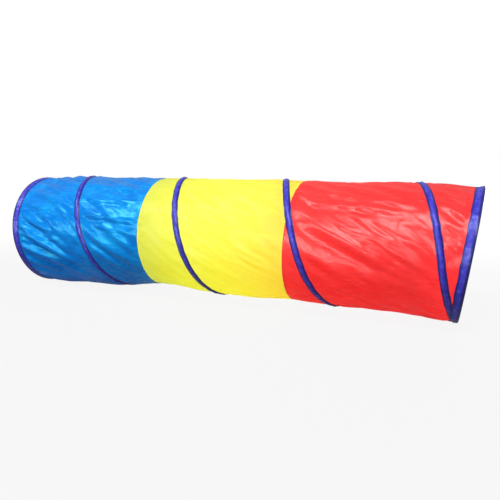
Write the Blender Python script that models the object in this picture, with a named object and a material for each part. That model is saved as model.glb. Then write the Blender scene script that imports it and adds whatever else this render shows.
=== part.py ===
"""A pop-up crawl tunnel for children.

One spring wire winds in four turns from a closed ring at the left end to a closed ring at the
right end. A fabric tube of three panels hangs inside it, a casing folded over each ring takes the
tube's edge, and a long sleeve sewn to the outside of the tube holds the coil.

Metres, +Z up. The tunnel lies along X with its left ring at -X, and the floor is z = 0.
A place on the tunnel is given as (along, angle, out): the way from the left ring's wire, the
angle round the axis from the top towards -Y, and the height over the fabric's outer face.
"""

import math

import bmesh
import bpy
import numpy as np
from mathutils import Vector

# The whole tunnel
TUNNEL_LENGTH = 1.77  # from ring wire to ring wire, along the floor
COIL_RADIUS = 0.2305  # outer face of the fabric between the rings
RING_FLARE = 0.002  # that face lies this much further out at a ring
COIL_RISE = 0.0115  # the coil's axis lies this much above the rings' axis
FLARE_LENGTH = 0.175  # way beside a casing over which the tube takes the coil's size
FLARE_STEPS = 8
LEFT_LEAN = 0.075  # each ring's top leans outwards by its angle, in radians
RIGHT_LEAN = 0.125
TURNS = 4
SIDES = 32  # flat faces round the tube, one of them on the floor

# Fabric
FABRIC = 0.001
SEAM_ALLOWANCE = 0.008  # turned inwards where two panels are sewn together
PANEL_INSET = 0.009  # from a ring's wire to the panel's edge inside the casing
PLAIN_STEPS = 3
TAPE = 0.0008  # sleeve and casing
SLEEVE_WIDTH = 0.024
SLEEVE_CROWN = 0.0036  # flat top of the sleeve over the wire
SLEEVE_FOOT = 0.0074  # width of the raised part at the fabric
CASING_WIDTH = 0.026  # from the ring's wire to the casing's edges
CASING_EDGE = 0.004  # sewn strip along each edge
CASING_SLOPE = 0.005
FOLD_STEPS = 4

# Wire
WIRE_RADIUS = 0.0015
WIRE_SIDES = 8
FERRULE_WALL = 0.0008
FERRULE_LENGTH = 0.026
FERRULE_STEPS = 6  # round each half of the ferrule's oval
COIL_END_INSET = 0.0039  # the coil's ends lie this far beside the ring's wire

# Clearances
GAP = 0.0003
SEAT = 0.0004  # between the fabric and what is sewn on it
ENTRY_GAP = 0.00025  # round the wire where it enters a casing
CUT_DEPTH = 0.012

# Where the coil crosses the far side, the top, the near side and the bottom in turn,
# as shares of the tunnel's length
CROSSING_SHARES = (
    0.063, 0.142, 0.197, 0.260,
    0.328, 0.393, 0.448, 0.512,
    0.571, 0.630, 0.697, 0.773,
    0.834, 0.891, 0.956,
)
# Where the panels are sewn together, as shares of the same length
SEAM_SHARES = (0.345, 0.670)

# Worked out from the sizes above
STEP = 2 * math.pi / SIDES
HALF_STEP = STEP / 2
FLAT = math.cos(HALF_STEP)  # a face's middle over its corners, as a share of the radius
QUARTER = math.pi / 2
RING_RADIUS = COIL_RADIUS + RING_FLARE
FERRULE_RADIUS = WIRE_RADIUS + GAP + FERRULE_WALL
CASING_BORE = FERRULE_RADIUS + GAP
COIL_OUT = SEAT + WIRE_RADIUS
RING_OUT = COIL_OUT + WIRE_RADIUS + GAP - CASING_BORE
CASING_BEND = (CASING_BORE + TAPE / 2) / math.cos(math.pi / 2 / FOLD_STEPS)
CASING_OUT = RING_OUT + CASING_BEND + TAPE / 2
RING_AXIS = (RING_RADIUS + CASING_OUT) * FLAT
COIL_AXIS = RING_AXIS + COIL_RISE
PIVOT_HEIGHT = RING_AXIS - (RING_RADIUS + RING_OUT) * FLAT
RING_TOP = RING_AXIS + RING_RADIUS - PIVOT_HEIGHT
LEFT_OVERHANG = math.sin(LEFT_LEAN) * RING_TOP
RIGHT_OVERHANG = math.sin(RIGHT_LEAN) * RING_TOP
LEFT_RING_X = (LEFT_OVERHANG - TUNNEL_LENGTH - RIGHT_OVERHANG) / 2
RIGHT_RING_X = LEFT_RING_X + TUNNEL_LENGTH
COIL_START = -math.pi - HALF_STEP
COIL_STEPS = TURNS * SIDES + 1

COLOURS = {
    "blue_polyester": ((0.0, 0.26, 0.86), 0.42, 0.0),
    "yellow_polyester": ((0.95, 0.90, 0.06), 0.42, 0.0),
    "red_polyester": ((0.92, 0.03, 0.03), 0.42, 0.0),
    "violet_tape": ((0.08, 0.07, 0.62), 0.55, 0.0),
    "spring_steel": ((0.50, 0.51, 0.53), 0.35, 1.0),
    "zinc_steel": ((0.66, 0.67, 0.69), 0.30, 1.0),
}


def ring_share(along):
    """1 inside a casing and 0 along the coil, straight between evenly spaced stations."""
    from_casing = min(along, TUNNEL_LENGTH - along) - CASING_WIDTH
    place = min(max(from_casing / FLARE_LENGTH, 0.0), 1.0) * FLARE_STEPS
    station = min(int(place), FLARE_STEPS - 1)
    near, far = (1 - (station + k) / FLARE_STEPS for k in (0, 1))
    near, far = (u * u * (3 - 2 * u) for u in (near, far))
    return near + (far - near) * (place - station)


def tube_point(along, angle, out):
    """The point of the leaning, flared tube at a place on the tunnel."""
    share = ring_share(along)
    radius = COIL_RADIUS + RING_FLARE * share + out
    height = COIL_AXIS + (RING_AXIS - COIL_AXIS) * share + radius * math.cos(angle)
    way = along / TUNNEL_LENGTH
    lean = RIGHT_LEAN * way ** 2 - LEFT_LEAN * (1 - way) ** 2
    above = height - PIVOT_HEIGHT
    return Vector((
        LEFT_RING_X + along + math.sin(lean) * above,
        -radius * math.sin(angle),
        PIVOT_HEIGHT + math.cos(lean) * above,
    ))


def coil_knots():
    """Angles and places that the coil passes, with a level stretch at each ring's bottom."""
    angles = [COIL_START, COIL_START + STEP]
    places = [COIL_END_INSET, COIL_END_INSET]
    for k, share in enumerate(CROSSING_SHARES):
        angles.append(-math.pi + QUARTER * (k + 1))
        places.append(share * TUNNEL_LENGTH)
    end = COIL_START + COIL_STEPS * STEP
    angles += [end - STEP, end]
    places += [TUNNEL_LENGTH - COIL_END_INSET] * 2
    return np.array(angles), np.array(places)


def knot_slopes(angles, places):
    """Slopes of a curve that keeps climbing: the harmonic mean of its two neighbours."""
    rises = np.diff(places) / np.diff(angles)
    slopes = np.zeros(len(angles))
    for k in range(1, len(rises)):
        if rises[k - 1] > 0 and rises[k] > 0:
            slopes[k] = 2 / (1 / rises[k - 1] + 1 / rises[k])
    return slopes


def coil_along(angle):
    """How far along the tunnel the coil is at an angle."""
    angles, places = coil_knots()
    slopes = knot_slopes(angles, places)
    k = int(np.clip(np.searchsorted(angles, angle) - 1, 0, len(angles) - 2))
    run = angles[k + 1] - angles[k]
    u = min(max((angle - angles[k]) / run, 0.0), 1.0)
    rise = places[k + 1] - places[k]
    return float(
        places[k]
        + rise * u * u * (3 - 2 * u)
        + run * u * (1 - u) * (slopes[k] * (1 - u) - slopes[k + 1] * u)
    )


def coil_angle(station):
    return COIL_START + station * STEP


def coil_out(station):
    """The wire rides on the fabric, and drops beside the ring's wire in its last stretch."""
    beside_ring = station < 2 or station > COIL_STEPS - 2
    return RING_OUT if beside_ring else COIL_OUT


def coil_stretch(station):
    """A slanting strip is this much wider along the tunnel than square across itself."""
    before, after = (coil_along(coil_angle(station + k / 2)) for k in (-1, 1))
    return math.hypot(1.0, (after - before) / (STEP * COIL_RADIUS))


def round_section(radius):
    turns = (2 * math.pi * (k + 0.5) / WIRE_SIDES for k in range(WIRE_SIDES))
    return [(radius * math.cos(a), radius * math.sin(a)) for a in turns]


def thick_path(path, thickness):
    """A closed outline round an open path, half the thickness to each side."""
    points = [Vector(p) for p in path]
    sides = ([], [])
    for k, point in enumerate(points):
        before = (point - points[k - 1]).normalized() if k else None
        after = (points[k + 1] - point).normalized() if k + 1 < len(points) else None
        a, b = before or after, after or before
        normal = Vector((-a.y - b.y, a.x + b.x)).normalized()
        reach = thickness / 2 / normal.dot(Vector((-a.y, a.x)))
        sides[0].append(tuple(point + normal * reach))
        sides[1].append(tuple(point - normal * reach))
    return sides[0] + sides[1][::-1]


def sleeve_section():
    """Flat on the fabric at both sides and raised over the wire, with the wire as its centre."""
    low = SEAT + TAPE / 2 - COIL_OUT
    high = WIRE_RADIUS + GAP + TAPE / 2
    half = [(SLEEVE_CROWN / 2, high), (SLEEVE_FOOT / 2, low), (SLEEVE_WIDTH / 2, low)]
    return thick_path([(-x, y) for x, y in half[::-1]] + half, TAPE)


def casing_profile():
    """(from the ring's wire, out): folded round the wire, with its edges against the panel."""
    shoulder = CASING_WIDTH - CASING_EDGE - CASING_SLOPE
    edge = CASING_WIDTH - CASING_EDGE
    bend = CASING_BEND
    upper = SEAT + TAPE / 2
    lower = -FABRIC - SEAT - TAPE / 2
    path = [(CASING_WIDTH, upper), (edge, upper), (shoulder, RING_OUT + bend)]
    for k in range(FOLD_STEPS + 1):
        a = math.pi / 2 + math.pi * k / FOLD_STEPS
        path.append((bend * math.cos(a), RING_OUT + bend * math.sin(a)))
    path += [(shoulder, RING_OUT - bend), (edge, lower), (CASING_WIDTH, lower)]
    return thick_path(path, TAPE)


def panel_profile(start, end, stations, seam_at_start, seam_at_end):
    """(along, out) round a panel's cut edge, with a turned-in allowance at each seam."""
    inner = -FABRIC - SEAM_ALLOWANCE
    profile = [(start, 0.0)] + [(s, 0.0) for s in stations] + [(end, 0.0)]
    back = [(s, -FABRIC) for s in stations[::-1]]
    if seam_at_end:
        profile += [(end, inner), (end - FABRIC, inner), (end - FABRIC, -FABRIC)]
    else:
        profile.append((end, -FABRIC))
    profile += back
    if seam_at_start:
        profile += [(start + FABRIC, -FABRIC), (start + FABRIC, inner), (start, inner)]
    else:
        profile.append((start, -FABRIC))
    return profile


def even_steps(start, end, count):
    return [start + (end - start) * (k + 1) / count for k in range(count - 1)]


def make_material(name):
    colour, roughness, metallic = COLOURS[name]
    material = bpy.data.materials.get(name)
    if material is None:
        material = bpy.data.materials.new(name)
        material.use_nodes = True
        shader = material.node_tree.nodes["Principled BSDF"]
        shader.inputs["Base Color"].default_value = (*colour, 1.0)
        shader.inputs["Roughness"].default_value = roughness
        shader.inputs["Metallic"].default_value = metallic
        material.diffuse_color = (*colour, 1.0)
    return material


def make_empty(name, location, parent=None):
    empty = bpy.data.objects.new(name, None)
    bpy.context.collection.objects.link(empty)
    empty.parent = parent
    origin = parent.matrix_world.translation if parent else Vector()
    empty.location = Vector(location) - origin
    bpy.context.view_layer.update()
    return empty


def make_object(name, points, faces, material, parent):
    """A closed mesh from world points, kept in its parent's place."""
    origin = parent.matrix_world.translation
    mesh = bpy.data.meshes.new(name)
    mesh.from_pydata([Vector(p) - origin for p in points], [], faces)
    closed = bmesh.new()
    closed.from_mesh(mesh)
    bmesh.ops.recalc_face_normals(closed, faces=closed.faces)
    closed.to_mesh(mesh)
    closed.free()
    mesh.shade_smooth()
    mesh.set_sharp_from_angle(angle=QUARTER / 3)
    mesh.materials.append(make_material(material))
    obj = bpy.data.objects.new(name, mesh)
    bpy.context.collection.objects.link(obj)
    obj.parent = parent
    return obj


def grid_faces(rows, columns, closed_rows):
    """Quads between rows of points, each row a closed loop."""
    faces = []
    for r in range(rows if closed_rows else rows - 1):
        low, high = r * columns, (r + 1) % rows * columns
        for c in range(columns):
            d = (c + 1) % columns
            faces.append((low + c, low + d, high + d, high + c))
    return faces


def make_ring(name, profile, material, parent):
    """Turns a closed (along, out) outline once round the tube."""
    points = [
        tube_point(along, HALF_STEP + k * STEP, out)
        for k in range(SIDES)
        for along, out in profile
    ]
    faces = grid_faces(SIDES, len(profile), True)
    return make_object(name, points, faces, material, parent)


def coil_rows(section, first, last):
    """World points of a section carried along the coil, one row a station."""
    rows = []
    for station in range(first, last + 1):
        angle = coil_angle(station)
        along = coil_along(angle)
        stretch = coil_stretch(station)
        out = coil_out(station)
        rows.append([tube_point(along + x * stretch, angle, out + y) for x, y in section])
    return rows


def make_coil(name, section, first, last, material, parent):
    """Sweeps a section along the coil's stations, with an end face at each end."""
    rows = coil_rows(section, first, last)
    columns = len(section)
    points = [p for row in rows for p in row]
    faces = grid_faces(len(rows), columns, False)
    faces.append(tuple(range(columns)))
    faces.append(tuple(range(len(points) - columns, len(points))))
    return make_object(name, points, faces, material, parent)


def least_gap(section, first, last):
    """The least distance between points of the swept surface that lie half a turn or more apart."""
    rows = np.array([[tuple(p) for p in row] for row in coil_rows(section, first, last)])
    apart = SIDES // 2
    least = float("inf")
    for k in range(len(rows) - apart):
        rest = rows[k + apart:].reshape(-1, 3)
        gaps = np.linalg.norm(rows[k][:, None] - rest[None], axis=2)
        least = min(least, float(gaps.min()))
    return least


def make_ferrule(name, ring_x, inwards, material, parent):
    """A short oval tube squeezed over the ring's wire and the coil's end beside it."""
    half = COIL_END_INSET / 2
    centre = Vector((ring_x + inwards * half, 0.0, PIVOT_HEIGHT))
    points = []
    for y in (-FERRULE_LENGTH / 2, FERRULE_LENGTH / 2):
        for radius in (FERRULE_RADIUS, FERRULE_RADIUS - FERRULE_WALL):
            for side in (1, -1):
                for k in range(FERRULE_STEPS + 1):
                    a = side * (math.pi / 2 - math.pi * k / FERRULE_STEPS)
                    x = side * (half + radius * math.cos(a))
                    points.append(centre + Vector((x, y, radius * math.sin(a))))
    loop = 2 * (FERRULE_STEPS + 1)
    faces = []
    for c in range(loop):
        d = (c + 1) % loop
        outer, inner, far = (0, loop, 2 * loop)
        faces.append((outer + c, outer + d, far + outer + d, far + outer + c))
        faces.append((inner + c, inner + d, far + inner + d, far + inner + c))
        for end in (0, far):
            faces.append((end + outer + c, end + outer + d, end + inner + d, end + inner + c))
    return make_object(name, points, faces, material, parent)


def cut_away(obj, cutter):
    cutter.hide_render = True
    cutter.display_type = "WIRE"
    boolean = obj.modifiers.new("cut_" + cutter.name, "BOOLEAN")
    boolean.operation = "DIFFERENCE"
    boolean.solver = "EXACT"
    boolean.object = cutter


def from_left(profile):
    return profile


def from_right(profile):
    return [(TUNNEL_LENGTH - a, out) for a, out in profile]


def make_end(side, place, ring_x, inwards, first, last, parent):
    """One end of the tunnel: its ring of wire, the ferrule, and the casing with the coil's entry."""
    wire = [(a, RING_OUT + out) for a, out in round_section(WIRE_RADIUS)]
    make_ring(f"{side}_ring_wire", place(wire), "spring_steel", parent)
    make_ferrule(f"{side}_ferrule", ring_x, inwards, "zinc_steel", parent)
    casing = make_ring(f"{side}_ring_casing", place(casing_profile()), "violet_tape", parent)
    entry = round_section(WIRE_RADIUS + ENTRY_GAP)
    cut_away(casing, make_coil(f"{side}_entry_cutter", entry, first, last, "violet_tape", parent))


def make_coil_parts(parent):
    """The coil's wire from ferrule to ferrule, and its sleeve from casing to casing."""
    wire = round_section(WIRE_RADIUS)
    make_coil("coil_wire", wire, 0, COIL_STEPS, "spring_steel", parent)
    print(f"coil_wire: least gap to itself {least_gap(wire, 0, COIL_STEPS) * 1000:.1f} mm")

    first, last = 3, COIL_STEPS - 3
    sleeve = make_coil("coil_sleeve", sleeve_section(), first, last, "violet_tape", parent)
    gap = least_gap(sleeve_section(), first, last)
    print(f"coil_sleeve: least gap to itself {gap * 1000:.1f} mm")
    room = [
        (-CUT_DEPTH, -FABRIC / 2), (CASING_WIDTH + GAP, -FABRIC / 2),
        (CASING_WIDTH + GAP, CUT_DEPTH), (-CUT_DEPTH, CUT_DEPTH),
    ]
    for side, place in (("left", from_left), ("right", from_right)):
        cut_away(sleeve, make_ring(f"{side}_casing_room", place(room), "violet_tape", parent))


def end_panel(seam):
    """Outline of a panel from a ring to a seam, with places measured from the ring."""
    flare = [CASING_WIDTH + FLARE_LENGTH * k / FLARE_STEPS for k in range(FLARE_STEPS + 1)]
    plain = even_steps(CASING_WIDTH + FLARE_LENGTH, seam, PLAIN_STEPS)
    return panel_profile(PANEL_INSET, seam - GAP / 2, flare + plain, False, True)


def make_panels(left, middle, right):
    first, second = (share * TUNNEL_LENGTH for share in SEAM_SHARES)
    blue = end_panel(first)
    make_ring("blue_panel", blue, "blue_polyester", left)
    start, stop = first + GAP / 2, second - GAP / 2
    yellow = panel_profile(start, stop, even_steps(start, stop, PLAIN_STEPS), True, True)
    make_ring("yellow_panel", yellow, "yellow_polyester", middle)
    red = from_right(end_panel(TUNNEL_LENGTH - second))
    make_ring("red_panel", red, "red_polyester", right)


def main():
    for obj in list(bpy.data.objects):
        bpy.data.objects.remove(obj, do_unlink=True)
    left = make_empty("left_section", (LEFT_RING_X, 0, PIVOT_HEIGHT))
    left_ring = make_empty("left_ring", (LEFT_RING_X, 0, PIVOT_HEIGHT), left)
    middle = make_empty("middle_section", ((LEFT_RING_X + RIGHT_RING_X) / 2, 0, PIVOT_HEIGHT), left)
    right = make_empty("right_section", (RIGHT_RING_X, 0, PIVOT_HEIGHT), middle)
    right_ring = make_empty("right_ring", (RIGHT_RING_X, 0, PIVOT_HEIGHT), right)

    entry = SIDES // 3
    make_end("left", from_left, LEFT_RING_X, 1, 1, entry, left_ring)
    make_end("right", from_right, RIGHT_RING_X, -1, COIL_STEPS - entry, COIL_STEPS - 1, right_ring)
    make_coil_parts(left)
    make_panels(left, middle, right)


main()
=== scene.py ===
"""Looks of the play tunnel: cloth panels, taped coil, ring casings and wire."""
import math

import bmesh
import bpy
import numpy as np
from mathutils import Matrix, Vector


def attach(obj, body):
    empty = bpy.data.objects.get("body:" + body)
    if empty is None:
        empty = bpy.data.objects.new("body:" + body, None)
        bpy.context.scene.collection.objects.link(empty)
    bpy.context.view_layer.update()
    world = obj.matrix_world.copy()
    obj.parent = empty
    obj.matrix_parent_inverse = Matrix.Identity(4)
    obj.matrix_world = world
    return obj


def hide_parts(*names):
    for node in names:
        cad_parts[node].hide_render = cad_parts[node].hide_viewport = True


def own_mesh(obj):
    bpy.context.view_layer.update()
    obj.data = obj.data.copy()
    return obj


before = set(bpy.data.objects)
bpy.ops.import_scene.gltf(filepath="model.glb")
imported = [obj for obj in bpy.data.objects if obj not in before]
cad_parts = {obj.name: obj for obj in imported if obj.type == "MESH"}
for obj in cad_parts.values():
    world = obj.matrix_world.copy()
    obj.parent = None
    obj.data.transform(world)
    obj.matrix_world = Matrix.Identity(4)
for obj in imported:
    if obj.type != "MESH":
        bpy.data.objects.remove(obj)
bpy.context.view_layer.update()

# ------------------------------------------------------- sizes that the part's source states
TUNNEL_LENGTH = 1.77
COIL_RADIUS = 0.2305
RING_FLARE = 0.002
COIL_RISE = 0.0115
FLARE_LENGTH = 0.175
LEFT_LEAN = 0.075
RIGHT_LEAN = 0.125
FABRIC = 0.001
SEAM_ALLOWANCE = 0.008
PANEL_INSET = 0.009
TAPE = 0.0008
SLEEVE_WIDTH = 0.024
CASING_WIDTH = 0.026
FOLD_STEPS = 4
WIRE_RADIUS = 0.0015
FERRULE_WALL = 0.0008
COIL_END_INSET = 0.0039
GAP = 0.0003
SEAT = 0.0004
CROSSING_SHARES = (
    0.063, 0.142, 0.197, 0.260,
    0.328, 0.393, 0.448, 0.512,
    0.571, 0.630, 0.697, 0.773,
    0.834, 0.891, 0.956,
)
SEAM_SHARES = (0.345, 0.670)
TURN = 2 * math.pi
STEP = TURN / 32
FLAT = math.cos(STEP / 2)
RING_RADIUS = COIL_RADIUS + RING_FLARE
CASING_BORE = WIRE_RADIUS + GAP + FERRULE_WALL + GAP
COIL_OUT = SEAT + WIRE_RADIUS
RING_OUT = COIL_OUT + WIRE_RADIUS + GAP - CASING_BORE
CASING_BEND = (CASING_BORE + TAPE / 2) / math.cos(math.pi / 2 / FOLD_STEPS)
CASING_OUT = RING_OUT + CASING_BEND + TAPE / 2
RING_AXIS = (RING_RADIUS + CASING_OUT) * FLAT
COIL_AXIS = RING_AXIS + COIL_RISE
PIVOT_HEIGHT = RING_AXIS - (RING_RADIUS + RING_OUT) * FLAT
RING_TOP = RING_AXIS + RING_RADIUS - PIVOT_HEIGHT
LEFT_RING_X = (math.sin(LEFT_LEAN) * RING_TOP - TUNNEL_LENGTH
               - math.sin(RIGHT_LEAN) * RING_TOP) / 2
COIL_START = -math.pi - STEP / 2
COIL_STEPS = 129
COIL_END = COIL_START + COIL_STEPS * STEP
SEAMS = tuple(share * TUNNEL_LENGTH for share in SEAM_SHARES)


# ------------------------------------------------------- places on the tunnel
def smooth(u):
    u = np.clip(u, 0, 1)
    return u * u * (3 - 2 * u)


def from_ends(along):
    """Way from the nearer ring."""
    return np.minimum(along, TUNNEL_LENGTH - along)


def tube(along, angle, out):
    """World points, from the way along from the left ring, the angle from the top towards -Y and
    the height over the cloth."""
    along, angle, out = np.broadcast_arrays(
        *(np.asarray(v, float) for v in (along, angle, out)))
    share = 1 - smooth((from_ends(along) - CASING_WIDTH) / FLARE_LENGTH)
    radius = COIL_RADIUS + RING_FLARE * share + out
    rise = np.maximum(radius * np.cos(angle), -radius * (1 - (1 - FLAT) * share))
    height = COIL_AXIS + (RING_AXIS - COIL_AXIS) * share + rise
    way = along / TUNNEL_LENGTH
    lean = RIGHT_LEAN * way ** 2 - LEFT_LEAN * (1 - way) ** 2
    above = height - PIVOT_HEIGHT
    return np.stack([
        LEFT_RING_X + along + np.sin(lean) * above,
        -radius * np.sin(angle),
        PIVOT_HEIGHT + np.cos(lean) * above,
    ], -1)


def coil_table():
    """Angles, places and slopes of the coil's climb at its ends and crossings."""
    angles = [COIL_START, COIL_START + STEP]
    places = [COIL_END_INSET] * 2
    for k, share in enumerate(CROSSING_SHARES):
        angles.append(-math.pi + math.pi / 2 * (k + 1))
        places.append(share * TUNNEL_LENGTH)
    angles += [COIL_END - STEP, COIL_END]
    places += [TUNNEL_LENGTH - COIL_END_INSET] * 2
    angles, places = np.array(angles), np.array(places)
    rises = np.diff(places) / np.diff(angles)
    slopes = np.zeros(len(angles))
    for k in range(1, len(rises)):
        if rises[k - 1] > 0 and rises[k] > 0:
            slopes[k] = 2 / (1 / rises[k - 1] + 1 / rises[k])
    return angles, places, slopes


KNOT_ANGLES, KNOT_PLACES, KNOT_SLOPES = coil_table()


def coil_along(angle):
    """How far along the tunnel the coil is at an angle."""
    angle = np.asarray(angle, float)
    k = np.clip(np.searchsorted(KNOT_ANGLES, angle) - 1, 0, len(KNOT_ANGLES) - 2)
    run = KNOT_ANGLES[k + 1] - KNOT_ANGLES[k]
    u = np.clip((angle - KNOT_ANGLES[k]) / run, 0, 1)
    rise = KNOT_PLACES[k + 1] - KNOT_PLACES[k]
    bend = KNOT_SLOPES[k] * (1 - u) - KNOT_SLOPES[k + 1] * u
    return KNOT_PLACES[k] + rise * u * u * (3 - 2 * u) + run * u * (1 - u) * bend


def coil_slope(angle):
    """Climb of the coil per way round."""
    d = 0.02
    return (coil_along(angle + d) - coil_along(angle - d)) / (2 * d * COIL_RADIUS)


def cloth_angle(columns):
    """Angles of the columns of a grid that closes round the tube."""
    return np.arange(columns) * TURN / columns


def off_coil(along, angle):
    """Distance on the cloth from the coil's line."""
    angle = (angle + math.pi) % TURN - math.pi
    best = np.full(np.shape(along), 9.0)
    for turn in range(-1, 6):
        a = angle + TURN * turn
        there = (a > COIL_START - 0.01) & (a < COIL_END + 0.01)
        away = np.abs(along - coil_along(a)) / np.sqrt(1 + coil_slope(a) ** 2)
        best = np.where(there, np.minimum(best, away), best)
    return best


def waves(x, y, seed, count, x_band, y_band):
    """Smooth noise of about unit size: cosines of x and y with frequencies in two bands."""
    rng = np.random.default_rng(seed)
    total = np.zeros(np.broadcast(x, y).shape)
    for _ in range(count):
        fx = rng.uniform(*x_band) * rng.choice([-1, 1])
        fy = np.round(rng.uniform(*y_band))
        total = total + np.cos(fx * x + fy * y + rng.uniform(0, TURN))
    return total / math.sqrt(count / 2)


def folds(along, angle, seed, count, numbers, slants):
    """Smooth noise drawn out along lines that run down the near side as they go right."""
    rng = np.random.default_rng(seed)
    total = np.zeros(np.broadcast(along, angle).shape)
    for _ in range(count):
        n = rng.integers(*numbers)
        slant = math.tan(rng.uniform(*slants)) / COIL_RADIUS
        total = total + np.cos(n * (angle - slant * along) + rng.uniform(0, TURN))
    return total / math.sqrt(count / 2)


# ------------------------------------------------------- materials
# Distances between the threads of the cloth, and between the ribs of the tape's twill across and
# along it.
THREAD_PITCH = 0.0007
RIB_PITCH, RIB_LENGTH = 0.0011, 0.0022


def node(tree, kind, **sockets):
    """A new node. Sockets are set by name, or by number as _0, _1."""
    made = tree.nodes.new(kind)
    for name, value in sockets.items():
        key = int(name[1:]) if name[0] == "_" and name[1:].isdigit() else name.replace("_", " ")
        made.inputs[key].default_value = value
    return made


def math_node(tree, operation, a, b=None):
    made = tree.nodes.new("ShaderNodeMath")
    made.operation = operation
    for socket, value in zip(made.inputs, (a, b)):
        if value is None:
            continue
        if isinstance(value, (int, float)):
            socket.default_value = value
        else:
            tree.links.new(value, socket)
    return made.outputs[0]


def ramp(tree, value, stops):
    made = tree.nodes.new("ShaderNodeValToRGB")
    elements = made.color_ramp.elements
    while len(elements) < len(stops):
        elements.new(0.5)
    for element, (place, colour) in zip(elements, stops):
        element.position = place
        element.color = (*colour, 1)
    tree.links.new(value, made.inputs[0])
    return made.outputs[0]


def new_material(name, **sockets):
    """A material whose plain shader has these sockets set."""
    material = bpy.data.materials.new(name)
    material.use_nodes = True
    tree = material.node_tree
    shader = tree.nodes["Principled BSDF"]
    for key, value in sockets.items():
        shader.inputs[key.replace("_", " ")].default_value = value
    return material, tree, shader


def bump(tree, height, distance, strength, below=None):
    made = node(tree, "ShaderNodeBump", Strength=strength, Distance=distance)
    tree.links.new(height, made.inputs["Height"])
    if below is not None:
        tree.links.new(below, made.inputs["Normal"])
    return made.outputs["Normal"]


def flat_map(tree, scale):
    """Metres on the flat cloth, stretched by a scale."""
    uv = tree.nodes.new("ShaderNodeUVMap")
    uv.uv_map = "flat"
    mapping = node(tree, "ShaderNodeMapping", Scale=scale)
    tree.links.new(uv.outputs[0], mapping.inputs[0])
    return mapping.outputs[0]


def noise(tree, vector, scale, detail, rough=0.5):
    made = node(tree, "ShaderNodeTexNoise", Scale=scale, Detail=detail, Roughness=rough)
    tree.links.new(vector, made.inputs["Vector"])
    return made.outputs["Fac"]


def weave(tree, pitch):
    """Over-and-under threads, pitch apart."""
    uv = flat_map(tree, (1, 1, 1))
    split = tree.nodes.new("ShaderNodeSeparateXYZ")
    tree.links.new(uv, split.inputs[0])
    a, b = (math_node(tree, "SINE", math_node(tree, "MULTIPLY", way, TURN / pitch))
            for way in split.outputs[:2])
    return math_node(tree, "MULTIPLY", a, b)


def polyester(name, colour, deep, pale, shine, through, level, sheen):
    """Thin shiny woven cloth. Through is the share of light that it lets pass."""
    material, tree, shader = new_material(
        name, Roughness=0.36, Sheen_Weight=sheen, Sheen_Roughness=0.55,
        Sheen_Tint=(*shine, 1), IOR=1.7, Specular_Tint=(*shine, 1), Specular_IOR_Level=level)
    patches = noise(tree, flat_map(tree, (1, 1, 1)), 9.0, 3.0)
    streaks = noise(tree, flat_map(tree, (3.2, 0.8, 1)), 26.0, 3.0)
    blend = math_node(tree, "ADD", math_node(tree, "MULTIPLY", patches, 0.6),
                      math_node(tree, "MULTIPLY", streaks, 0.4))
    shade = ramp(tree, blend, [(0.3, deep), (0.5, colour), (0.72, pale)])
    tree.links.new(shade, shader.inputs["Base Color"])
    gloss = ramp(tree, streaks, [(0.3, (0.20,) * 3), (0.7, (0.30,) * 3)])
    tree.links.new(gloss, shader.inputs["Roughness"])
    creases = noise(tree, flat_map(tree, (2.2, 0.9, 1)), 42.0, 3.0, 0.45)
    soft = bump(tree, creases, 0.0016, 0.42)
    threads = bump(tree, weave(tree, THREAD_PITCH), 0.00006, 0.5, soft)
    tree.links.new(threads, shader.inputs["Normal"])
    light = tree.nodes.new("ShaderNodeBsdfTranslucent")
    tree.links.new(shade, light.inputs["Color"])
    tree.links.new(soft, light.inputs["Normal"])
    both = node(tree, "ShaderNodeMixShader", _0=through)
    tree.links.new(shader.outputs[0], both.inputs[1])
    tree.links.new(light.outputs[0], both.inputs[2])
    tree.links.new(both.outputs[0], tree.nodes["Material Output"].inputs["Surface"])
    return material


def tape_material(name, colour, deep, pale, widths, edges):
    """Ribbed tape, with painted shade at its edges and at its fold, by (way across, darkness)."""
    material, tree, shader = new_material(
        name, Roughness=0.3, Sheen_Weight=0.08, Sheen_Roughness=0.3, Sheen_Tint=(*pale, 1), IOR=1.5,
        Specular_Tint=(0.55, 0.6, 1.0, 1), Specular_IOR_Level=0.6)
    patches = noise(tree, flat_map(tree, (1, 1, 1)), 60.0, 3.0)
    rib = tree.nodes.new("ShaderNodeSeparateXYZ")
    tree.links.new(flat_map(tree, (1, 1, 1)), rib.inputs[0])
    body = ramp(tree, patches, [(0.3, deep), (0.52, colour), (0.75, pale)])
    spread = node(tree, "ShaderNodeMapRange", From_Min=widths[0], From_Max=widths[1])
    tree.links.new(rib.outputs[1], spread.inputs["Value"])
    span = widths[1] - widths[0]
    stops = [((place - widths[0]) / span, (much,) * 3) for place, much in edges]
    edge_shade_share = ramp(tree, spread.outputs["Result"], stops)
    painted_edge_shade = tree.nodes.new("ShaderNodeMix")
    painted_edge_shade.data_type = "RGBA"
    tree.links.new(edge_shade_share, painted_edge_shade.inputs[0])
    tree.links.new(body, painted_edge_shade.inputs[6])
    # Painted shade: a near-black navy mixed in at the tape's edges and at its fold round the wire.
    painted_edge_shade.inputs[7].default_value = (0.008, 0.008, 0.10, 1)
    tree.links.new(painted_edge_shade.outputs[2], shader.inputs["Base Color"])
    along = math_node(tree, "MULTIPLY", rib.outputs[1], TURN / RIB_PITCH)
    across = math_node(tree, "MULTIPLY", rib.outputs[0], TURN / RIB_LENGTH)
    twill = math_node(tree, "SINE", math_node(tree, "ADD", along, across))
    soft = bump(tree, patches, 0.0008, 0.5)
    tree.links.new(bump(tree, twill, 0.00008, 0.35, soft), shader.inputs["Normal"])
    return material


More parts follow.
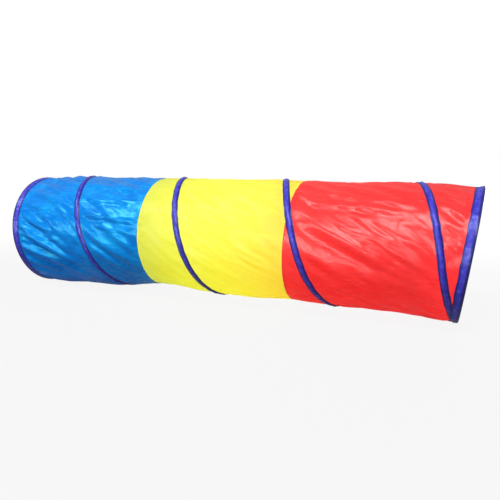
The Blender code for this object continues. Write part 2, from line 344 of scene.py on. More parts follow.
def thread_material(name, colour, pale):
    material, tree, shader = new_material(name, Roughness=0.7, Specular_IOR_Level=0.12, IOR=1.5)
    place = tree.nodes.new("ShaderNodeTexCoord").outputs["Object"]
    shade = ramp(tree, noise(tree, place, 900.0, 1.0), [(0.35, colour), (0.65, pale)])
    tree.links.new(shade, shader.inputs["Base Color"])
    strands = bump(tree, noise(tree, place, 2600.0, 1.0), 0.0001, 0.6)
    tree.links.new(strands, shader.inputs["Normal"])
    return material


def steel(name, colour, pale, rough):
    material, tree, shader = new_material(name, Metallic=1.0, Roughness=rough)
    place = tree.nodes.new("ShaderNodeTexCoord").outputs["Object"]
    spots = noise(tree, place, 500.0, 3.0)
    shade = ramp(tree, spots, [(0.35, colour), (0.7, pale)])
    tree.links.new(shade, shader.inputs["Base Color"])
    gloss = ramp(tree, spots, [(0.3, (rough - 0.06,) * 3), (0.7, (rough + 0.1,) * 3)])
    tree.links.new(gloss, shader.inputs["Roughness"])
    drawn = bump(tree, noise(tree, place, 1800.0, 2.0), 0.00005, 0.5)
    tree.links.new(drawn, shader.inputs["Normal"])
    return material


BLUE = polyester(
    "blue_polyester_cloth", (0.001, 0.31, 0.89), (0.0, 0.21, 0.77), (0.006, 0.49, 0.96),
    shine=(0.12, 1.0, 1.0), through=0.3, level=0.42, sheen=0.1)
YELLOW = polyester(
    "yellow_polyester_cloth", (0.94, 0.955, 0.36), (0.93, 0.935, 0.29), (0.95, 0.965, 0.5),
    shine=(1.0, 1.0, 0.6), through=0.8, level=0.32, sheen=0.12)
RED = polyester(
    "red_polyester_cloth", (0.93, 0.108, 0.118), (0.92, 0.076, 0.086), (0.94, 0.15, 0.162),
    shine=(1.0, 0.74, 0.72), through=0.72, level=1.0, sheen=1.0)
TAPE_SHADES = ((0.050, 0.045, 0.58), (0.026, 0.021, 0.40), (0.12, 0.115, 0.78))
CASING_FLAT_WIDTH = 0.062
# The second table of each tape is painted shade across its width: dark at its edges and, on the
# casing, at the fold round the ring's wire.
VIOLET = tape_material("violet_tape_cloth", *TAPE_SHADES, (0, CASING_FLAT_WIDTH), (
    (0, 0.85), (0.0045, 0.7), (0.0075, 0), (0.0185, 0),
    (0.0235, 0.85), (0.034, 0.85), (0.040, 0), (CASING_FLAT_WIDTH, 0.3)))
SLEEVE = tape_material(
    "violet_sleeve_cloth", *TAPE_SHADES, (-SLEEVE_WIDTH / 2, SLEEVE_WIDTH / 2), (
        (-SLEEVE_WIDTH / 2, 0.9), (-0.0078, 0.85), (-0.0056, 0),
        (0.0056, 0), (0.0078, 0.85), (SLEEVE_WIDTH / 2, 0.9)))
THREAD = thread_material("violet_thread", (0.03, 0.026, 0.34), (0.06, 0.055, 0.5))
SPRING = steel("spring_steel_wire", (0.42, 0.43, 0.45), (0.56, 0.57, 0.6), 0.3)
CRIMP = steel("zinc_crimp", (0.6, 0.61, 0.63), (0.72, 0.73, 0.75), 0.26)


# ------------------------------------------------------- meshes
def mesh_object(name, points, faces, material, uvs=None):
    mesh = bpy.data.meshes.new(name)
    mesh.from_pydata(points.reshape(-1, 3).tolist(), [], faces)
    if uvs is not None:
        layer = mesh.uv_layers.new(name="flat")
        layer.data.foreach_set("uv", np.asarray(uvs, np.float32).ravel())
    mesh.shade_smooth()
    mesh.materials.append(material)
    made = bpy.data.objects.new(name, mesh)
    bpy.context.collection.objects.link(made)
    return made


def strip(rows, columns, close_rows):
    """Quads over a grid whose columns close round, and for each corner its (row, column) with the
    closing ones counted on."""
    r = np.arange(rows if close_rows else rows - 1)[:, None]
    c = np.arange(columns)[None, :]
    corners = [(r, c), (r, c + 1), (r + 1, c + 1), (r + 1, c)]
    corners = [np.broadcast_arrays(a, b) for a, b in corners]
    faces = np.stack([(a % rows) * columns + b % columns for a, b in corners], -1)
    spots = np.stack([np.stack([a, b], -1) for a, b in corners], -2)
    return faces.reshape(-1, 4), spots.reshape(-1, 4, 2)


def grid_object(name, points, material, u, v, close_rows=False, flip=False):
    """A grid of points (rows, columns, 3) whose columns close round. u and v are metres on the
    flat cloth at each row and column, with one more where the grid closes."""
    rows, columns = points.shape[:2]
    faces, spots = strip(rows, columns, close_rows)
    u, v = (np.broadcast_to(w, (rows + close_rows, columns + 1)) for w in (u, v))
    uvs = np.stack([u[spots[..., 0], spots[..., 1]], v[spots[..., 0], spots[..., 1]]], -1)
    if flip:
        faces, uvs = faces[:, ::-1], uvs[:, ::-1]
    return mesh_object(name, points, faces.tolist(), material, uvs)


def tidy_faces(obj, ends=()):
    """Adds a face over each loop of points named in ends, and turns all faces outwards."""
    work = bmesh.new()
    work.from_mesh(obj.data)
    work.verts.ensure_lookup_table()
    for loop in ends:
        work.faces.new([work.verts[k] for k in loop])
    bmesh.ops.recalc_face_normals(work, faces=work.faces)
    work.to_mesh(obj.data)
    work.free()


def end_loops(rows, columns):
    """The points of a grid's first and last rows."""
    return [range(k * columns, (k + 1) * columns) for k in (0, rows - 1)]


# ------------------------------------------------------- cloth
# The simulated tube: its grid and frames, how much its cut is twisted, wider and longer than the
# space that it fills, the height of the folds that it starts from and its stiffness in bending.
SIM_ROWS, SIM_COLUMNS, SIM_FRAMES = 178, 144, 24
SIM_TWIST = -0.08
SIM_WIDER = 0.008
SIM_LONGER = 0.001
SIM_START = 0.003
SIM_BEND = 1.0


def low_side(angle, spread):
    """1 at the tube's lowest line and less beside it."""
    return np.exp(-(((angle % TURN) - math.pi) / spread) ** 2)


def bell(place, middle, spread):
    return np.exp(-((place - middle) / spread) ** 2)


def pull_in(along, angle):
    """How far the seams draw the cloth in."""
    total = np.zeros(np.broadcast(along, angle).shape)
    for seam, most, shift in zip(SEAMS, (0.015, 0.006), (0.03, 0.0)):
        near = bell(along - seam, shift, 0.085)
        total = total + near * (0.0015 + most * low_side(angle, 0.75))
    return total


def hang(along, angle):
    """How far the cloth's underside hangs below the coil, or is drawn up beside the first seam."""
    left = smooth((along - 0.03) / 0.1) * smooth((0.50 - along) / 0.14)
    return low_side(angle, 0.7) * (
        0.010 * left - 0.012 * bell(along, 0.71, 0.10) - 0.007 * bell(along, 0.55, 0.06))


def settle():
    """Lets the slack tube of cloth settle between the taped coil and the rings. Gives its moves."""
    rows, columns = SIM_ROWS, SIM_COLUMNS
    along, angle = np.meshgrid(
        np.linspace(0, TUNNEL_LENGTH, rows), cloth_angle(columns), indexing="ij")
    held = off_coil(along, angle) < SLEEVE_WIDTH / 2 + 0.001
    held |= from_ends(along) < CASING_WIDTH + 0.002
    start = folds(along, angle, 3, 16, (14, 30), (0.3, 0.75)) * SIM_START
    start[held] = 0
    start -= pull_in(along, angle) * np.where(held, 0, 1)
    points = tube(along, angle, start)
    turned = angle + SIM_TWIST * along / COIL_RADIUS
    wide = COIL_RADIUS * (1 + SIM_WIDER)
    rest = np.stack([along * (1 + SIM_LONGER), wide * np.sin(turned), wide * np.cos(turned)], -1)
    faces, _ = strip(rows, columns, False)
    mesh = bpy.data.meshes.new("settling")
    mesh.from_pydata(points.reshape(-1, 3).tolist(), [], faces.tolist())
    cloth = bpy.data.objects.new("settling", mesh)
    bpy.context.collection.objects.link(cloth)
    cloth.shape_key_add(name="Basis")
    slack = cloth.shape_key_add(name="Rest")
    slack.data.foreach_set("co", rest.ravel().astype(np.float32))
    pins = cloth.vertex_groups.new(name="pins")
    pins.add(np.flatnonzero(held.ravel()).tolist(), 1.0, "REPLACE")
    modifier = cloth.modifiers.new("cloth", "CLOTH")
    settings = modifier.settings
    settings.quality = 5
    settings.vertex_group_mass = "pins"
    settings.rest_shape_key = cloth.data.shape_keys.key_blocks["Rest"]
    settings.mass = 0.02
    settings.tension_stiffness = 30
    settings.compression_stiffness = 5
    settings.shear_stiffness = 5
    settings.bending_stiffness = SIM_BEND
    settings.air_damping = 2
    settings.effector_weights.gravity = 0.3
    modifier.collision_settings.use_collision = False
    modifier.point_cache.frame_start = 1
    modifier.point_cache.frame_end = SIM_FRAMES
    scene = bpy.context.scene
    for frame_number in range(1, SIM_FRAMES + 1):
        scene.frame_set(frame_number)
    evaluated = cloth.evaluated_get(bpy.context.evaluated_depsgraph_get())
    moved = np.empty(rows * columns * 3)
    evaluated.data.vertices.foreach_get("co", moved)
    scene.frame_set(1)
    bpy.data.objects.remove(cloth, do_unlink=True)
    return moved.reshape(rows, columns, 3) - tube(along, angle, 0)


def cubic(values, places):
    """Values of a table at fractional rows, by a smooth curve through them."""
    k = np.clip(np.floor(places).astype(int), 0, len(values) - 2)
    u = (places - k)[:, None, None]
    p = [values[np.clip(k + d, 0, len(values) - 1)] for d in (-1, 0, 1, 2)]
    return 0.5 * (2 * p[1] + (p[2] - p[0]) * u
                  + (2 * p[0] - 5 * p[1] + 4 * p[2] - p[3]) * u * u
                  + (3 * p[1] - p[0] - 3 * p[2] + p[3]) * u ** 3)


def spread_moves(moves, along, angles):
    """The settled moves, carried to finer rows and columns."""
    rows = cubic(moves, along / TUNNEL_LENGTH * (SIM_ROWS - 1))
    columns = (angles % TURN) / TURN * SIM_COLUMNS
    around = np.swapaxes(rows, 0, 1)
    around = np.concatenate([around[-2:], around, around[:3]])
    return np.swapaxes(cubic(around, columns + 2), 0, 1)


# Folds that the photograph shows on the near side: three places (along, angle) from left to right,
# half width and height.
FOLDS = (
    ((0.045, 0.95), (0.145, 1.07), (0.285, 1.22), 0.011, 0.0045),
    ((0.045, 1.21), (0.145, 1.40), (0.245, 1.60), 0.012, 0.0063),
    ((0.045, 1.51), (0.155, 1.79), (0.290, 2.13), 0.011, 0.0069),
    ((0.045, 1.80), (0.137, 1.97), (0.235, 2.12), 0.009, 0.0045),
    ((0.134, 1.69), (0.198, 1.675), (0.263, 1.62), 0.005, 0.0021),
    ((0.048, 0.64), (0.175, 0.88), (0.279, 1.01), 0.012, 0.0048),
    ((0.290, 0.47), (0.425, 0.56), (0.580, 0.62), 0.014, 0.0060),
    ((0.320, 0.84), (0.436, 0.90), (0.590, 0.86), 0.010, 0.0039),
    ((0.347, 1.15), (0.474, 1.21), (0.600, 1.27), 0.013, 0.0072),
    ((0.400, 1.36), (0.512, 1.43), (0.608, 1.50), 0.008, 0.0026),
    ((0.375, 1.52), (0.456, 1.73), (0.545, 1.91), 0.013, 0.0045),
    ((1.215, 0.58), (1.378, 0.65), (1.600, 0.80), 0.012, 0.0048),
    ((1.215, 0.80), (1.451, 0.85), (1.618, 0.95), 0.012, 0.0048),
    ((1.195, 0.98), (1.342, 1.28), (1.545, 1.66), 0.024, 0.0140),
    ((1.235, 1.52), (1.347, 1.74), (1.500, 2.10), 0.017, 0.0125),
    ((1.337, 1.11), (1.476, 1.28), (1.633, 1.36), 0.014, 0.0039),
    ((1.453, 1.81), (1.550, 1.93), (1.656, 2.02), 0.013, 0.0027),
    ((1.665, 0.45), (1.700, 0.75), (1.730, 0.98), 0.010, 0.0027),
    ((0.640, 1.25), (0.860, 1.33), (1.080, 1.36), 0.020, 0.0020),
    ((0.720, 1.72), (0.930, 1.80), (1.130, 1.75), 0.016, 0.0016),
    ((0.640, 0.62), (0.880, 0.66), (1.120, 0.60), 0.022, 0.0020),
)


def shown_folds(along, angle):
    """Height of the folds of the table over the cloth: each bends through its middle place, and
    has a steeper lower side with a dip below it."""
    total = np.zeros(np.shape(along))
    for (x0, t0), (x1, t1), (x2, t2), half_width, height in FOLDS:
        run = math.hypot(x2 - x0, (t2 - t0) * COIL_RADIUS)
        ex, ey = (x2 - x0) / run, (t2 - t0) * COIL_RADIUS / run
        x, y = along - x0, (angle - t0) * COIL_RADIUS
        way, aside = (x * ex + y * ey) / run, y * ex - x * ey
        middle = (t1 - t0) * COIL_RADIUS * ex - (x1 - x0) * ey
        w = np.clip(way, 0, 1)
        d = (aside - 4 * middle * w * (1 - w)) / half_width
        profile = bell(np.where(d < 0, d / 1.5, d * 1.25), 0, 1) - 0.45 * bell(d, 1.7, 0.8)
        total += height * profile * np.sin(math.pi * w) ** 0.8
    return total


CLOTH_COLUMNS = 240
CLOTH_PITCH = 0.006
CLOTH_THICKNESS = 0.0004
FLOOR_GAP = 0.0012
# The cloth is held under the sleeve and free this far beyond it.
FREE_FROM = SLEEVE_WIDTH / 2 + 0.0012
FREE_WITHIN = 0.016
# Of the settled moves, those of fewer waves round the tube are kept whole. The finer ones are kept
# in the share that LIVELY gives along the tunnel.
CALM_WAVES = 7
LIVELY = ((0.0, 0.24, 0.31, 0.60, 0.64, 1.16, 1.22, 1.77),
          (0.85, 0.85, 0.5, 0.5, 0.45, 0.45, 0.5, 0.5))
CRUMPLE_HEIGHT = 0.0008
MOVES = settle()


def cloth_points(along, angles):
    """The cloth's outer face on rows of places and columns of angles."""
    a, t = np.meshgrid(along, angles, indexing="ij")
    away = np.minimum(off_coil(a, t), SLEEVE_WIDTH / 2 + from_ends(a) - CASING_WIDTH)
    free = smooth((away - FREE_FROM) / FREE_WITHIN)
    if MOVES is None:
        crumple = 0.0012 * free * waves(a, t, 5, 14, (4, 30), (9, 26))
        moved = tube(a, t, -pull_in(a, t) * free + crumple)
    else:
        moves = spread_moves(MOVES, along, angles)
        waves_round = np.fft.rfft(moves, axis=1)
        waves_round[:, CALM_WAVES:] = 0
        calm = np.fft.irfft(waves_round, moves.shape[1], axis=1)
        seam = np.abs(along[:, None] - np.array(SEAMS)[None, :]).min(1)
        liveness = np.interp(along, *LIVELY) * (1 - 0.6 * bell(seam, 0, 0.03))
        moves = calm + (moves - calm) * liveness[:, None, None]
        patchy = smooth(0.5 + 0.5 * waves(a, t, 81, 10, (3, 14), (1, 5)))
        crumple = folds(a, t, 83, 26, (34, 60), (0.3, 0.62)) * patchy * CRUMPLE_HEIGHT
        crumple = crumple * liveness[:, None] / 0.5
        flat = tube(a, t, 0)
        raised = tube(a, t, shown_folds(a, t) + crumple + hang(a, t)) - flat
        moved = flat + (moves + raised) * free[..., None]
    moved[..., 2] = np.maximum(moved[..., 2], FLOOR_GAP)
    return moved


def outward(points):
    """Normals of a grid that closes round its columns."""
    down = np.gradient(points, axis=0)
    round_it = np.roll(points, -1, 1) - np.roll(points, 1, 1)
    normal = np.cross(round_it, down)
    return normal / np.linalg.norm(normal, axis=2, keepdims=True)


# The turned-in allowance: its rows, how much it leans and how much that wanders. The edge beside it
# dips over the roll's width, which has rows of its own.
HEM_ROWS = 4
HEM_LEAN, HEM_WANDER = 0.18, 0.16
SEAM_ROWS = np.array([0.0008, 0.0018, 0.0032])
SEAM_ROLL = 0.003
SEAM_DIP = 0.0012


def panel(name, start, stop, material, body):
    """A panel of cloth, with its allowance turned inwards at each seam."""
    seams = ((start > TUNNEL_LENGTH / 10, 0, 1), (stop < TUNNEL_LENGTH * 0.9, -1, -1))
    seam_start, seam_stop = seams[0][0], seams[1][0]
    count = int(round((stop - start) / CLOTH_PITCH))
    along = np.linspace(start, stop, count + 1)
    if seam_start:
        along = np.concatenate([along[:1], start + SEAM_ROWS, along[1:]])
    if seam_stop:
        along = np.concatenate([along[:-1], stop - SEAM_ROWS[::-1], along[-1:]])
    angles = cloth_angle(CLOTH_COLUMNS)
    points = cloth_points(along, angles)
    normal = outward(points)
    edge = np.full(len(along), 1.0)
    if seam_start:
        edge = np.minimum(edge, (along - start) / SEAM_ROLL)
    if seam_stop:
        edge = np.minimum(edge, (stop - along) / SEAM_ROLL)
    points = points - normal * (SEAM_DIP * (1 - np.clip(edge, 0, 1)) ** 2)[:, None, None]
    rows, places = [points], [along]
    wave = waves(np.zeros(CLOTH_COLUMNS), angles, 31 + len(name), 9, (0, 0), (7, 40))
    for sewn, row, sign in seams:
        if not sewn:
            continue
        turned = []
        for k in range(1, HEM_ROWS + 1):
            way = k / HEM_ROWS * SEAM_ALLOWANCE
            lean = way * (HEM_LEAN + HEM_WANDER * wave * (k / HEM_ROWS))
            aside = np.stack([sign * np.maximum(lean, 0.0001), 0 * lean, 0 * lean], -1)
            turned.append(points[row] - normal[row] * way + aside)
        turned = np.array(turned)
        reach = along[row] - sign * np.arange(1, HEM_ROWS + 1) / HEM_ROWS * SEAM_ALLOWANCE
        if sign > 0:
            rows.insert(0, turned[::-1])
            places.insert(0, reach[::-1])
        else:
            rows.append(turned)
            places.append(reach)
    v = np.concatenate(places)[:, None]
    u = np.arange(CLOTH_COLUMNS + 1)[None, :] * TURN / CLOTH_COLUMNS * COIL_RADIUS
    made = grid_object(name, np.concatenate(rows), material, u, v, flip=True)
    solid = made.modifiers.new("thickness", "SOLIDIFY")
    solid.thickness = CLOTH_THICKNESS
    solid.use_even_offset = False
    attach(made, body)
    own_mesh(made)
    return made


# ------------------------------------------------------- tape
# The sleeve arches over the wire and lies flat beside it. Its puckers are waves of so many per
# turn, times the scale, and its edges wander.
ARCH_HEIGHT = 0.0058
ARCH_HALF = 0.0094
SLEEVE_STATIONS = 520
SLEEVE_TRIM = 0.13
SLEEVE_START, SLEEVE_STOP = COIL_START + SLEEVE_TRIM, COIL_END - SLEEVE_TRIM
PUCKER_SCALE = 4.03
SLEEVE_PUCKER, SLEEVE_FINE, SLEEVE_WANDER = 0.0004, 0.0003, 0.0005
CASING_CLEAR = 0.0004


def arch(away):
    """Height of the tape's middle line over the cloth, by the distance from the coil's line."""
    u = np.clip(np.abs(away) / ARCH_HALF, 0, 1)
    return SEAT + TAPE / 2 + (ARCH_HEIGHT - SEAT - TAPE) * (1 - u ** 2.2) ** 1.25


def coil_frame(turn, across, out):
    """Places beside the coil's line: across is square to it on the cloth."""
    lean = np.arctan(coil_slope(turn))
    along = coil_along(turn) + across * np.cos(lean)
    angle = turn - across * np.sin(lean) / COIL_RADIUS
    return along, angle, out


def sleeve_shift(turn):
    """How far the sleeve's edges wander aside."""
    return SLEEVE_WANDER * waves(turn * 0, turn * PUCKER_SCALE, 43, 10, (0, 0), (12, 60))


def sleeve_surface(turn, across):
    """Height of the sleeve's middle line, puckered by its stitches."""
    around = turn * PUCKER_SCALE
    pucker = waves(turn * 0, around, 41, 16, (0, 0), (30, 110)) * SLEEVE_PUCKER
    fine = waves(across * 260, around, 42, 12, (0.5, 1.5), (20, 90)) * SLEEVE_FINE
    weight = np.clip(1 - (np.abs(across) / (SLEEVE_WIDTH / 2)) ** 4, 0, 1)
    return arch(across) + (pucker + fine) * weight


def there_and_back(there, back):
    """A row of points along a sheet's outer face and back along its inner one."""
    return np.concatenate([there, back[:, ::-1]], 1)


def make_sleeve():
    turn = np.linspace(SLEEVE_START, SLEEVE_STOP, SLEEVE_STATIONS)[:, None]
    across = np.concatenate([
        np.linspace(-SLEEVE_WIDTH / 2, -ARCH_HALF, 3),
        np.linspace(-ARCH_HALF, ARCH_HALF, 13)[1:-1],
        np.linspace(ARCH_HALF, SLEEVE_WIDTH / 2, 3)])[None, :]
    middle = sleeve_surface(turn, across)
    shifted = across + sleeve_shift(turn)
    both = there_and_back(shifted, shifted)
    heights = there_and_back(middle + TAPE / 2, middle - TAPE / 2)
    along, angle, out = coil_frame(turn + 0 * both, both, heights)
    edge = CASING_WIDTH + CASING_CLEAR
    shown = np.flatnonzero(((along > edge) & (along < TUNNEL_LENGTH - edge)).any(1))
    along = np.clip(along, edge, TUNNEL_LENGTH - edge)
    part = slice(shown[0], shown[-1] + 1)
    points = tube(along[part], angle[part], out[part])
    turn = turn[part]
    u = (turn - turn[0]) * COIL_RADIUS
    v = np.concatenate([both[0], both[0, :1]])[None, :]
    made = grid_object("coil_sleeve_tape", points, SLEEVE, u, v)
    tidy_faces(made, end_loops(*points.shape[:2]))
    return made


WIRE_SIDES = 12
COIL_STATIONS, COIL_END_STATIONS, RING_STATIONS = 600, 24, 192


def round_section():
    a = cloth_angle(WIRE_SIDES)
    return WIRE_RADIUS * np.cos(a)[None, :], WIRE_RADIUS * np.sin(a)[None, :]


def make_wire(name, points, closed):
    """A wire of round sections, in steel, with its ends covered unless it is a closed ring."""
    faces = strip(len(points), WIRE_SIDES, closed)[0].tolist()
    made = mesh_object(name, points, faces, SPRING)
    tidy_faces(made, () if closed else end_loops(len(points), WIRE_SIDES))
    return made


def coil_drop(turn):
    """Height of the coil's wire over the cloth. It drops to the ring's wire at both ends."""
    beside = np.minimum(turn - COIL_START, COIL_END - turn)
    return COIL_OUT + (RING_OUT - COIL_OUT) * (1 - smooth((beside - STEP) / STEP))


def coil_piece(name, start, stop, stations):
    x, y = round_section()
    turn = np.linspace(start, stop, stations)[:, None]
    points = tube(*coil_frame(turn + 0 * x, x + 0 * turn, coil_drop(turn) + y))
    return make_wire(name, points, False)


def ring_piece(name, base):
    x, y = round_section()
    angle = cloth_angle(RING_STATIONS)[:, None]
    return make_wire(name, tube(base + x, angle, RING_OUT + y), True)


# The casing stands this high over the floor at least. Its flaps lie flat over this width, then it
# rises, part sine and part smooth step, to the fold round the ring's wire.
CASING_FLOOR = 0.00005
CASING_FLAP = 0.003
CASING_RISE = (0.35, 0.65)
CASING_FOLD_START = 0.002
CASING_STATIONS = 256
CASING_PUCKER, CASING_FINE, CASING_WANDER = 0.0003, 0.0002, 0.0006


def casing_path():
    """(from the ring's wire, out) of the folded tape's middle line, from its outer edge to its
    inner, and how many of these are on the outside."""
    upper, lower = SEAT + TAPE / 2, -FABRIC - SEAT - TAPE / 2
    bend, knee = CASING_BEND, CASING_WIDTH - CASING_FLAP
    outer = [(CASING_WIDTH, upper), (CASING_WIDTH - CASING_FLAP / 2, upper), (knee, upper)]
    slope = knee - CASING_FOLD_START
    for k in range(1, 8):
        u = k / 8
        rise = CASING_RISE[0] * math.sin(math.pi / 2 * u) + CASING_RISE[1] * smooth(u)
        outer.append((knee - slope * u, upper + (RING_OUT + bend - upper) * rise))
    fold = []
    for k in range(9):
        a = math.pi / 2 + math.pi * k / 8
        fold.append((bend * math.cos(a) * 0.98, RING_OUT + bend * math.sin(a)))
    inner = []
    for k in range(1, 6):
        fall = float(smooth(k / 6))
        inner.append((knee - slope * (1 - k / 6),
                      RING_OUT - bend + (lower - RING_OUT + bend) * fall))
    inner += [(knee, lower), (CASING_WIDTH, lower)]
    return np.array(outer + fold + inner), len(outer) + 4


def make_casing(side):
    path, half = casing_path()
    step = np.gradient(path, axis=0)
    normal = np.stack([-step[:, 1], step[:, 0]], -1)
    normal /= np.linalg.norm(normal, axis=1, keepdims=True)
    angle = cloth_angle(CASING_STATIONS)[:, None]
    flip, base = (1, 0) if side == "left" else (-1, TUNNEL_LENGTH)
    lengthwise = path[:, 0][None, :]
    outer_side = np.arange(len(path))[None, :] < half
    weight = np.where(outer_side, 1.0, 0.6) * bell(lengthwise, 0.012, 0.009)
    pucker = waves(angle * 0, angle, 51 + flip, 18, (0, 0), (20, 90)) * CASING_PUCKER * weight
    fine = waves(lengthwise * 300, angle, 61 + flip, 12, (0.5, 1.5), (15, 70))
    fine = fine * CASING_FINE * weight
    edge_wave = CASING_WANDER * waves(angle * 0, angle, 71 + flip, 9, (0, 0), (9, 40))
    lift = smooth((lengthwise - 0.004) / 0.008) * outer_side
    alongs, outs = [], []
    for sign in (1, -1):
        face = path - normal * sign * TAPE / 2
        x = face[:, 0][None, :] + edge_wave * smooth((lengthwise - 0.016) / 0.008)
        y = face[:, 1][None, :] + (pucker + fine)
        along = base + flip * x
        over = arch(off_coil(along + 0 * angle, angle + 0 * along)) + CASING_CLEAR + sign * TAPE / 2
        outs.append(np.where(outer_side, y + np.maximum(over - y, 0) * lift, y))
        alongs.append(along + 0 * angle)
    points = tube(there_and_back(*alongs), angle, there_and_back(*outs))
    points[..., 2] = np.maximum(points[..., 2], CASING_FLOOR)
    length = np.concatenate([[0], np.cumsum(np.linalg.norm(np.diff(path, axis=0), axis=1))])
    v = np.concatenate([length, length[::-1], length[:1]])[None, :]
    u = np.arange(CASING_STATIONS + 1)[:, None] * TURN / CASING_STATIONS * RING_RADIUS
    made = grid_object(f"{side}_casing_tape", points, VIOLET, u, v, close_rows=True)
    tidy_faces(made)
    return made


# ------------------------------------------------------- stitches
# Length, width and height of a dash, and how far it sits beside the coil's line, in from a
# casing's edge, sunk into the tape and sunk under the cloth.
STITCH_SIZE = (0.0042, 0.0008, 0.0005)
STITCH_PITCH = 0.0056
STITCH_ASIDE = 0.0106
STITCH_INSET = 0.0022
STITCH_SINK = 0.00005
INNER_STITCH = 0.00035
FINE_STATIONS = 6000


def dashes(along, angle, heading, out, inward):
    """Thread dashes that lie on a face: points and faces of each, pointed at both ends."""
    length, width, height = STITCH_SIZE
    shape = np.array([(-0.5, 0, 0.2), (-0.34, -0.5, 0), (-0.34, 0, 1), (-0.34, 0.5, 0),
                      (0.34, -0.5, 0), (0.34, 0, 1), (0.34, 0.5, 0), (0.5, 0, 0.2)])
    l, w, h = (shape * (length, width, -height if inward else height)).T
    along, angle, heading, out = (
        np.asarray(v, float)[:, None] for v in (along, angle, heading, out))
    points = tube(along + l * np.cos(heading) - w * np.sin(heading),
                  angle + (l * np.sin(heading) + w * np.cos(heading)) / COIL_RADIUS, out + h)
    faces = [(0, 1, 2), (0, 2, 3), (1, 4, 5, 2), (2, 5, 6, 3), (4, 7, 5), (5, 7, 6)]
    if inward:
        faces = [face[::-1] for face in faces]
    every = range(0, len(points) * len(shape), len(shape))
    return points, [[first + i for i in face] for first in every for face in faces]


def stitching(name, rows, body):
    """All dashes of the rows as one piece."""
    points, faces, start = [], [], 0
    for row in rows:
        some, made = dashes(*row)
        points.append(some.reshape(-1, 3))
        faces += [[start + i for i in face] for face in made]
        start += len(points[-1])
    thread = mesh_object(name, np.concatenate(points), faces, THREAD)
    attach(thread, body)
    return thread


def sleeve_stitches():
    turn = np.linspace(SLEEVE_START, SLEEVE_STOP, FINE_STATIONS)
    steps = np.sqrt(1 + coil_slope(turn[1:]) ** 2) * np.diff(turn)
    length = np.concatenate([[0], np.cumsum(steps)]) * COIL_RADIUS
    rows = []
    for side in (-1, 1):
        at = np.interp(np.arange(0.002, length[-1], STITCH_PITCH), length, turn)
        across = side * STITCH_ASIDE + sleeve_shift(at)
        along, angle, _ = coil_frame(at, across, 0)
        shown = from_ends(along) > CASING_WIDTH + 0.003
        at, across, along, angle = (v[shown] for v in (at, across, along, angle))
        heading = math.pi / 2 - np.arctan(coil_slope(at))
        top = sleeve_surface(at, across) + TAPE / 2 - STITCH_SINK
        rows.append((along, angle, heading, top, False))
        rows.append((along, angle, heading, 0 * at - INNER_STITCH, True))
    return stitching("coil_sleeve_stitching", rows, "left_section")


def casing_stitches(side):
    count = int(TURN * RING_RADIUS / STITCH_PITCH)
    angle = cloth_angle(count)
    reach = CASING_WIDTH - STITCH_INSET
    along = np.full(count, reach if side == "left" else TUNNEL_LENGTH - reach)
    over = arch(off_coil(along, angle)) + CASING_CLEAR + TAPE / 2
    top = np.maximum(SEAT + TAPE, over) - STITCH_SINK
    low = np.full(count, -FABRIC - SEAT - TAPE + STITCH_SINK)
    turned = np.full(count, math.pi / 2)
    return stitching(f"{side}_ring_stitching", [
        (along, angle, turned, top, False), (along, angle, turned, low, True)], f"{side}_ring")


# ------------------------------------------------------- the pieces
FIRST, SECOND = SEAMS
blue = panel("blue_cloth", PANEL_INSET, FIRST - GAP / 2, BLUE,
             "left_section")
yellow = panel("yellow_cloth", FIRST + GAP / 2, SECOND - GAP / 2, YELLOW,
               "middle_section")
red = panel("red_cloth", SECOND + GAP / 2, TUNNEL_LENGTH - PANEL_INSET, RED,
            "right_section")
for obj, slot, cad in ((blue, "blue_polyester", "blue_panel"),
                       (yellow, "yellow_polyester", "yellow_panel"),
                       (red, "red_polyester", "red_panel")):
    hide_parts(cad)

sleeve = make_sleeve()
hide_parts("coil_sleeve")
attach(sleeve, "left_section")

# The coil's wire is cut where it enters the casings, so that its ends stay whole in the fold.
turns = np.linspace(COIL_START, COIL_END, FINE_STATIONS)
inset = CASING_WIDTH + WIRE_RADIUS
leaves, enters = np.interp((inset, TUNNEL_LENGTH - inset), coil_along(turns), turns)
coil = coil_piece("coil_spring_wire", leaves, enters, COIL_STATIONS)
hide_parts("coil_wire")
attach(coil, "left_section")
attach(coil_piece("left_coil_end", COIL_START, leaves, COIL_END_STATIONS), "left_ring")
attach(coil_piece("right_coil_end", enters, COIL_END, COIL_END_STATIONS), "right_ring")
for obj in (sleeve, coil, sleeve_stitches()):
    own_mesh(obj)

for side, base in (("left", 0), ("right", TUNNEL_LENGTH)):
    casing = make_casing(side)
    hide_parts(f"{side}_ring_casing")
    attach(casing, f"{side}_ring")
    casing_stitches(side)
    ring = ring_piece(f"{side}_ring_wire_round", base)
    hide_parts(f"{side}_ring_wire")
    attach(ring, f"{side}_ring")
    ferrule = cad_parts[f"{side}_ferrule"]
    ferrule.data.materials.clear()
    ferrule.data.materials.append(CRIMP)


# ------------------------------------------------------- camera, floor and light
CAMERA_PLACE = (0.9069, -1.9647, 0.561)
CAMERA_YAW, CAMERA_PITCH = -0.3954, 0.169
FOCUS_PIXELS, PHOTO_PIXELS = 540.3634, 500
SENSOR = 36
FLOOR_HALF = 30
# The floor turns white between these distances from the middle.
FLOOR_FADE = (1.2, 2.6)
# What gloss mirrors of the white floor and world, and the world's own light.
FLOOR_MIRRORED, WORLD_MIRRORED = 0.25, 0.35
WORLD_LEVEL = 0.14


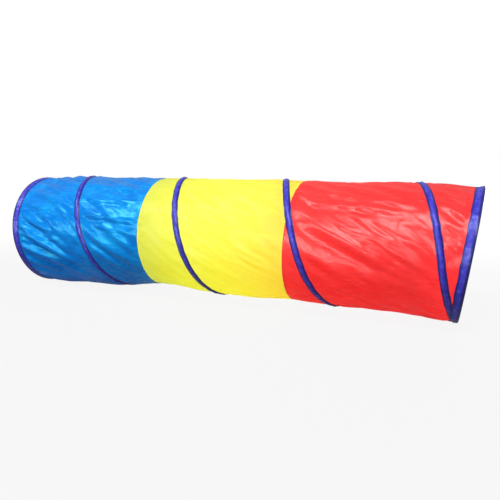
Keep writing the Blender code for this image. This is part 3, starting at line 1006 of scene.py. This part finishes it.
def place_camera():
    camera = bpy.data.objects.new("camera", bpy.data.cameras.new("camera"))
    bpy.context.collection.objects.link(camera)
    level = math.cos(CAMERA_PITCH)
    forward = Vector((math.sin(CAMERA_YAW) * level, math.cos(CAMERA_YAW) * level,
                      -math.sin(CAMERA_PITCH)))
    right = Vector((math.cos(CAMERA_YAW), -math.sin(CAMERA_YAW), 0))
    up = right.cross(forward)
    turned = Matrix((right, up, -forward)).transposed().to_4x4()
    camera.matrix_world = Matrix.Translation(CAMERA_PLACE) @ turned
    camera.data.sensor_width = SENSOR
    camera.data.lens = FOCUS_PIXELS / PHOTO_PIXELS * SENSOR
    camera.data.clip_end = 100
    bpy.context.scene.camera = camera


def seen_white(tree, glossy):
    """1 for what the camera sees, also through cloth, and less for what gloss mirrors."""
    path = tree.nodes.new("ShaderNodeLightPath").outputs
    seen = math_node(tree, "MAXIMUM", path["Is Camera Ray"], path["Is Transmission Ray"])
    return math_node(tree, "MAXIMUM", seen,
                     math_node(tree, "MULTIPLY", path["Is Glossy Ray"], glossy))


def make_floor():
    """A plain pale floor that is white to the camera far from the object."""
    half = FLOOR_HALF
    corners = [(-half, -half, 0), (half, -half, 0), (half, half, 0), (-half, half, 0)]
    mesh = bpy.data.meshes.new("floor")
    mesh.from_pydata(corners, [], [(0, 1, 2, 3)])
    floor = bpy.data.objects.new("floor", mesh)
    bpy.context.collection.objects.link(floor)
    material, tree, shader = new_material("pale_floor", Roughness=0.9, Specular_IOR_Level=0.1)
    shader.inputs["Base Color"].default_value = (0.22, 0.22, 0.22, 1)
    glow = node(tree, "ShaderNodeEmission", Color=(1, 1, 1, 1), Strength=1.0)
    away = tree.nodes.new("ShaderNodeVectorMath")
    away.operation = "LENGTH"
    tree.links.new(tree.nodes.new("ShaderNodeTexCoord").outputs["Object"], away.inputs[0])
    fade = node(tree, "ShaderNodeMapRange", From_Min=FLOOR_FADE[0], From_Max=FLOOR_FADE[1],
                To_Min=0.9, To_Max=1.0)
    fade.interpolation_type = "SMOOTHSTEP"
    tree.links.new(away.outputs["Value"], fade.inputs["Value"])
    white = seen_white(tree, FLOOR_MIRRORED)
    share = math_node(tree, "MULTIPLY", white, fade.outputs["Result"])
    mix = tree.nodes.new("ShaderNodeMixShader")
    for socket, source in enumerate((share, shader.outputs[0], glow.outputs[0])):
        tree.links.new(source, mix.inputs[socket])
    tree.links.new(mix.outputs[0], tree.nodes["Material Output"].inputs["Surface"])
    mesh.materials.append(material)


def make_world():
    """An even world that is white to the camera and dim as a light."""
    world = bpy.data.worlds.new("studio")
    bpy.context.scene.world = world
    world.use_nodes = True
    tree = world.node_tree
    background = tree.nodes["Background"]
    background.inputs["Color"].default_value = (1, 1, 1, 1)
    shown = math_node(tree, "MULTIPLY", seen_white(tree, WORLD_MIRRORED), 1 - WORLD_LEVEL)
    tree.links.new(math_node(tree, "ADD", WORLD_LEVEL, shown), background.inputs["Strength"])


def lamp(name, place, target, size, power):
    data = bpy.data.lights.new(name, "AREA")
    data.shape = "RECTANGLE"
    data.size, data.size_y = size
    data.energy = power
    made = bpy.data.objects.new(name, data)
    bpy.context.collection.objects.link(made)
    made.location = place
    made.rotation_mode = "QUATERNION"
    made.rotation_quaternion = (Vector(target) - Vector(place)).to_track_quat("-Z", "Y")
    return made


place_camera()
make_floor()
make_world()
lamp("key", (0.7, -1.9, 3.0), (0.1, 0, 0.25), (0.6, 0.6), 71)
lamp("left", (-1.8, -1.7, 3.0), (-0.4, 0, 0.25), (0.4, 0.4), 56)
lamp("front", (-0.35, -3.0, 0.8), (-0.35, 0, 0.24), (2.4, 0.15), 20)
lamp("back", (0.7, 2.7, 0.42), (0.2, 0, 0.24), (2.2, 0.6), 145)
# The strip adds gloss only, for the streaks along the folds.
gloss_strip = lamp("strip", (-1.5, -3.0, 0.85), (-1.5, 0, 0.24), (4.2, 0.12), 70)
gloss_strip.visible_diffuse = gloss_strip.visible_transmission = False
bpy.context.scene.view_settings.view_transform = "Standard"
